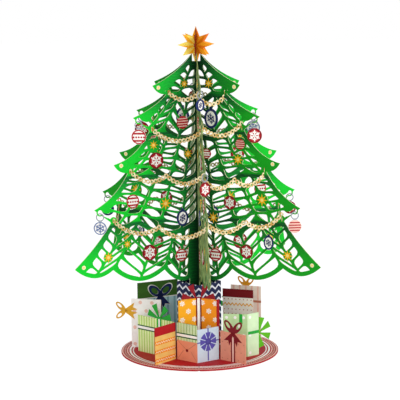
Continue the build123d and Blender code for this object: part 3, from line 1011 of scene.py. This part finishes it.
def gift_ink(sides, grounds, bow):
    """The panels' colours, and the bow's above them and past their two ends."""

    def paint(tree, place):
        height = add(tree, "ShaderNodeSeparateXYZ", {"Vector": place}).outputs["Z"]
        outside = maths(tree, "GREATER_THAN", height, sides[0][0].translation.z + sides[0][2] * mm)
        colour = grounds[0]
        for number, (plane, width, _, _) in enumerate(sides):
            along = plane.col[0].xyz / mm
            start = plane.translation.dot(along)
            measure = add(tree, "ShaderNodeVectorMath", {0: place, 1: along}, operation="DOT_PRODUCT")
            reach = measure.outputs["Value"]
            if number:
                colour = blend(tree, maths(tree, "GREATER_THAN", reach, start), colour, grounds[number])
            else:
                outside = maths(tree, "MAXIMUM", outside, maths(tree, "LESS_THAN", reach, start))
            if number == len(sides) - 1:
                past_end = maths(tree, "GREATER_THAN", reach, start + width * mm)
                outside = maths(tree, "MAXIMUM", outside, past_end)
        return blend(tree, outside, colour, bow)

    return paint


def wrap(name, grounds, bow):
    """Ink a gift's card and return a print for each of its panels, with the panel's size."""
    sides = panels(name)
    cover(nodes[name], printed_card(name + "_card", gift_ink(sides, grounds, bow)))
    print(name, [(round(width, 1), round(tall, 1)) for _, width, tall, _ in sides])
    return [
        (Print(f"{name}_print_{number}", plane, thick), width, tall)
        for number, (plane, width, tall, thick) in enumerate(sides)
    ]


# %% [markdown]
# Wrapping paper is mostly stripes and scattered marks, and a bow with loops. They are fitted to a
# panel's own width and height, so a panel of another size still gets whole stripes and rows.


# %% Patterns for wrapping paper
mark_turn = 17  # degrees from one mark to the next, so that no two neighbours stand alike
loop_lean = 50  # degrees from upright
tail_spread = 30


def stripes(sheet, ink, left, low, right, high, pitch, weight):
    """Upright stripes over a rectangle."""
    count = int((right - left) / pitch)
    for stripe in range(count):
        middle = left + (stripe + 0.5) * (right - left) / count
        sheet.bar(ink, middle - weight / 2, low, middle + weight / 2, high)


def marks(sheet, shape, ink, width, tall, pitch, size, margin):
    """Shapes in staggered rows, a margin in from the panel's edges."""
    rows = int((tall - 2 * margin) / pitch)
    columns = int((width - 2 * margin) / pitch)
    for row in range(rows + 1):
        y = margin + row * (tall - 2 * margin) / max(rows, 1)
        for column in range(columns + 1 - row % 2):
            x = margin + (column + (row % 2) / 2) * (width - 2 * margin) / max(columns, 1)
            sheet.stamp(shape, ink, x, y, size, turn=mark_turn * (row + column))


def loop_bow(sheet, ink, x, y, size, layer):
    """Two loops, a knot and two tails."""
    reach = 0.62 * size
    for side in (-1, 1):
        lean = side * radians(loop_lean)
        place = (x + reach * sin(lean), y + reach * cos(lean))
        sheet.stamp("loop", ink, *place, reach, 0.36 * size, layer, 90 - side * loop_lean)
        sheet.stamp("ribbon_end", ink, x, y, 1.1 * size, layer=layer, turn=-90 + side * tail_spread)
    sheet.stamp("disc", ink, x, y, 0.22 * size, layer=layer)


# %% [markdown]
# The front row stands in full view, so its papers matter most. They are common ones in the
# portrait's colours: green stripes with a banded ribbon, a red lid over zigzags, a flapped
# envelope beside a rosette, a plain gift with a red ribbon, and a dotted one. Sizes are in
# millimetres, and shares are of the panel.

# %% The gifts in front
line_weight = 1.0

[(sheet, width, tall)] = wrap("striped_gift", ["#e6f4b4"], "#23a032")
stripes(sheet, "sage", 0, 0, width, tall, 2.9, 1.2)
sheet.bar("white", 0, 0.63 * tall, width, 0.72 * tall, layer=2)
for low in (0.61, 0.71):
    sheet.bar("pine", 0, low * tall, width, low * tall + line_weight, layer=3)
ribbon_at = 0.6 * width
sheet.bar("white", ribbon_at - 2.2, 0.74 * tall, ribbon_at + 2.2, tall, layer=2)
for side in (-1, 1):
    stem = ribbon_at + side * 1.7
    sheet.bar("leaf", stem - 0.8, 0.74 * tall, stem + 0.8, tall, layer=3)
sheet.finish()

[(sheet, width, tall)] = wrap("chevron_gift", ["#eec06a"], "#c3222b")
sheet.bar("crimson", 0, tall - 7.6, width, tall)
for low in (1.5, 9.0, 16.5):
    sheet.bar("amber", 0, low, width, low + 3.4)
    sheet.zigzag("cream", 0.6, width - 0.6, low + 1.7, 3.0, 1.7, 0.5, layer=2)
sheet.finish()

folded = wrap("front_fold_gift", ["#ea9473", "#c8d8e4"], "#ea9473")
(left, width, tall), (right, right_width, right_tall) = folded
flap_top = tall - 15
left.bar("pale_green", 0, flap_top, width, tall)
stripes(left, "sage", 0, flap_top, width, tall, 2.9, 1.0)
left.bar("white", 0, flap_top + 3, width, flap_top + 6, layer=2)
for low in (2.4, 5.6):
    left.bar("pine", 0, flap_top + low, width, flap_top + low + line_weight, layer=3)
flap_drop = 8
flap_run = hypot(width / 2, flap_drop)
flap_tilt = degrees(asin(flap_drop / flap_run))
for side in (-1, 1):
    place = (width / 2 + side * width / 4, flap_top - flap_drop / 2)
    left.stamp("bar", "terracotta", *place, 0.96 * flap_run, 0.5, turn=side * flap_tilt)
    place = (width / 2 + side * width * 0.33, flap_top * 0.27)
    left.stamp("bar", "terracotta", *place, flap_top * 0.62, 0.4, turn=-side * 52)
left.stamp("disc", "deep_red", width / 2, flap_top - flap_drop, 1.3, layer=2)
left.finish()
right.bar("violet", right_width / 2 - 0.6, 0.5, right_width / 2 + 0.6, right_tall)
right.bar("violet", 0, 0.6 * right_tall - 0.5, right_width, 0.6 * right_tall + 0.5)
right.stamp("rosette", "violet", right_width / 2, 0.6 * right_tall, 8.0, layer=2)
right.stamp("disc", "violet", right_width / 2, 0.6 * right_tall, 3.0, layer=2)
right.finish()

[(sheet, width, tall)] = wrap("dusty_gift", ["#e4957b"], "#7c1420")
ribbon_at = 0.5 * width
marks(sheet, "disc", "terracotta", width, tall, 5.5, 0.5, 2)
sheet.bar("blush", ribbon_at - 0.9, 0, ribbon_at + 0.9, tall, layer=2)
for side in (-1, 1):
    edge = ribbon_at + side * 1.5
    sheet.bar("deep_red", edge - 0.65, 0, edge + 0.65, tall, layer=3)
    sheet.stamp("ribbon_end", "deep_red", ribbon_at, tall, 11.5, layer=4, turn=-90 + side * 36)
sheet.finish()

# The right panel is a lighter copy of the left one's green: painted light and painted shade.
folded = wrap("dotted_fold_gift", ["#c3e3a8", "#d6eec2"], "#5cb51c")
(left, width, tall), (right, right_width, right_tall) = folded
for sheet, wide in ((left, width), (right, right_width)):
    marks(sheet, "disc", "white", wide, tall, 7.0, 1.3, 3)
left.bar("leaf", 0.74 * width - 1.4, tall - 8.5, 0.74 * width + 1.4, tall, layer=2)
right.bar("leaf", 0.06 * right_width, 0.55 * tall - 1.3, right_width, 0.55 * tall + 1.3, layer=2)
left.finish()
right.finish()

# %% [markdown]
# The second row shows its upper half, so lids, bows and upper borders matter most there. The three
# gifts at the very back aren't in the portrait, and get the plainest papers.

# %% The gifts behind them
# The left panel is a lighter copy of the right one's orange: painted light and painted shade.
folded = wrap("snow_fold_gift", ["#fbae20", "#f7951c"], "#8e1420")
(left, width, tall), (right, right_width, right_tall) = folded
for sheet, wide in ((left, width), (right, right_width)):
    marks(sheet, "snowflake", "white", wide, tall, 6.4, 2.5, 3.6)
fold_line = 1.3
left.bar("white", width - 0.9, 0, width, tall, layer=2)
left.bar("deep_red", width - 0.9 - fold_line, 0, width - 0.9, tall, layer=2)
right.bar("white", 0, 0, 1.6, tall, layer=2)
right.bar("deep_red", 1.6, 0, 1.6 + fold_line, tall, layer=2)
right.bar("crimson", right_width - 2.4, 0, right_width, tall, layer=2)
left.finish()
right.finish()

[(sheet, width, tall)] = wrap("tall_lidded_gift", ["#bfe3e8"], "#1c2a5e")
lid_foot = tall - 14
ribbon_at = 0.56 * width
sheet.bar("moss", 0, lid_foot, width, tall)
sheet.bar("white", 0, lid_foot - 0.8, width, lid_foot, layer=2)
stripes(sheet, "teal", 0, 0, width, lid_foot - 0.8, 5.6, 2.0)
sheet.bar("navy", ribbon_at - 1.6, 0, ribbon_at + 1.6, lid_foot, layer=3)
loop_bow(sheet, "white", ribbon_at, lid_foot + 1, 11.8, 4)
loop_bow(sheet, "navy", ribbon_at, lid_foot + 1, 11, 5)
sheet.finish()

[(sheet, width, tall)] = wrap("pale_dotted_gift", ["#fffaf6"], "#e0a62c")
marks(sheet, "disc", "blush", width, tall, 7.4, 1.6, 3)
side_knot = (-5.8, 32.4)  # the middle of the bow that is cut at this gift's left edge
for side in (-1, 1):
    sheet.stamp("ribbon_end", "ochre", *side_knot, 11.0, layer=2, turn=side * 24)
sheet.finish()

[(sheet, width, tall)] = wrap("banded_gift", ["#fdf3ea"], "#a11a26")
row_dots = 8
sheet.bar("deep_red", 0, tall - 7.3, width, tall)
for low in (9, 22, 35):
    sheet.zigzag("gold", 0.6, width - 0.6, tall - low - 4.5, 3.4, 2.2, 0.8)
    for height in (low, low + 9):
        for dot in range(row_dots):
            sheet.stamp("disc", "terracotta", (dot + 0.5) * width / row_dots, tall - height, 0.5)
sheet.finish()

[(sheet, width, tall)] = wrap("rear_pale_gift", ["#f9e8de"], "#dd9420")
stripes(sheet, "blush", 0, 0, width, tall, 5.2, 1.6)
sheet.bar("terracotta", 0, 0.7 * tall, width, 0.7 * tall + 2, layer=2)
sheet.finish()

# The right panel is a lighter copy of the left one's blue: painted light and painted shade.
folded = wrap("back_fold_gift", ["#c9dcef", "#d9e8f5"], "#c9dcef")
(left, width, tall), (right, right_width, right_tall) = folded
for sheet, wide in ((left, width), (right, right_width)):
    marks(sheet, "disc", "white", wide, tall, 6.0, 1.2, 3)
    sheet.bar("slate", 0.5 * wide - 1, 0, 0.5 * wide + 1, tall, layer=2)
    sheet.finish()

[(sheet, width, tall)] = wrap("back_left_gift", ["#d6937f"], "#7c1420")
marks(sheet, "star", "cream", width, tall, 6.4, 2.0, 3)
sheet.finish()

[(sheet, width, tall)] = wrap("back_right_gift", ["#dfeab9"], "#23a032")
stripes(sheet, "sage", 0, 0, width, tall, 2.9, 1.2)
sheet.finish()

# %% [markdown]
# ## The studio
# The portrait has a white ground, and soft light that comes mostly from the right, so the faces
# that look left are a step darker. A white card cove with many lamps would be the real way. Two
# large soft lamps and an even world give the same here. Floor and world are white to the camera,
# and the floor still takes a little of the card's shadow.

# %% Floor
floor_size = 8.0
floor_glow = 1.2
glow_part = 0.72  # of what the camera sees of the floor: the rest is shaded paper


def seen_by_camera(tree):
    """1 for rays from the camera, by way of a mirror or glass too, and 0 for the light's own."""
    rays = add(tree, "ShaderNodeLightPath").outputs
    turned = maths(tree, "MAXIMUM", rays["Is Glossy Ray"], rays["Is Transmission Ray"])
    return maths(tree, "MAXIMUM", rays["Is Camera Ray"], turned)


half = floor_size / 2
floor_corners = [(-half, -half, 0), (half, -half, 0), (half, half, 0), (-half, half, 0)]
floor_mesh = mesh_of("studio_floor", floor_corners, [], [(0, 1, 2, 3)])
floor = add_object("studio_floor", floor_mesh)
# Dull white paper that mostly glows: no edge or horizon, and only a breath of shadow.
sweep = bpy.data.materials.new("white_paper_sweep")
tree = clear_tree(sweep)
glow_share = maths(tree, "MULTIPLY", seen_by_camera(tree), glow_part)
paper = add(tree, "ShaderNodeBsdfDiffuse", {"Color": linear("#f2f2f2")})
glow = add(tree, "ShaderNodeEmission", {"Color": (1, 1, 1, 1), "Strength": floor_glow})
lit = {0: glow_share, 1: paper.outputs["BSDF"], 2: glow.outputs["Emission"]}
mixed = add(tree, "ShaderNodeMixShader", lit)
add(tree, "ShaderNodeOutputMaterial", {"Surface": mixed.outputs["Shader"]})
floor_mesh.materials.append(sweep)
print(f"floor: {floor_size:.0f} m square")

# %% World and lamps
room_light = 0.7
lamp_aim = Vector((0, 0, 130 * mm))

world = bpy.data.worlds.new("white_room")
bpy.context.scene.world = world
tree = clear_tree(world)
strength = span(tree, seen_by_camera(tree), 0, 1, room_light, 1.0)
sky = add(tree, "ShaderNodeBackground", {"Color": (1, 1, 1, 1), "Strength": strength})
add(tree, "ShaderNodeOutputWorld", {"Surface": sky.outputs["Background"]})


def soft_lamp(name, place, size, watts):
    """A square lamp that looks at the middle of the card."""
    lamp = bpy.data.lights.new(name, "AREA")
    lamp.size = size
    lamp.energy = watts
    thing = add_object(name, lamp)
    thing.location = place
    thing.rotation_euler = (lamp_aim - thing.location).to_track_quat("-Z", "Y").to_euler()


lamps = {
    "key_right": ((1.15, -0.95, 0.75), 0.7, 9),
    "fill_front": ((-0.4, -1.65, 0.5), 1.2, 6.5),
}
for name, (place, size, watts) in lamps.items():
    soft_lamp(name, place, size, watts)
bpy.context.scene.view_settings.view_transform = "Standard"
print(f"room light {room_light}, {len(lamps)} lamps")
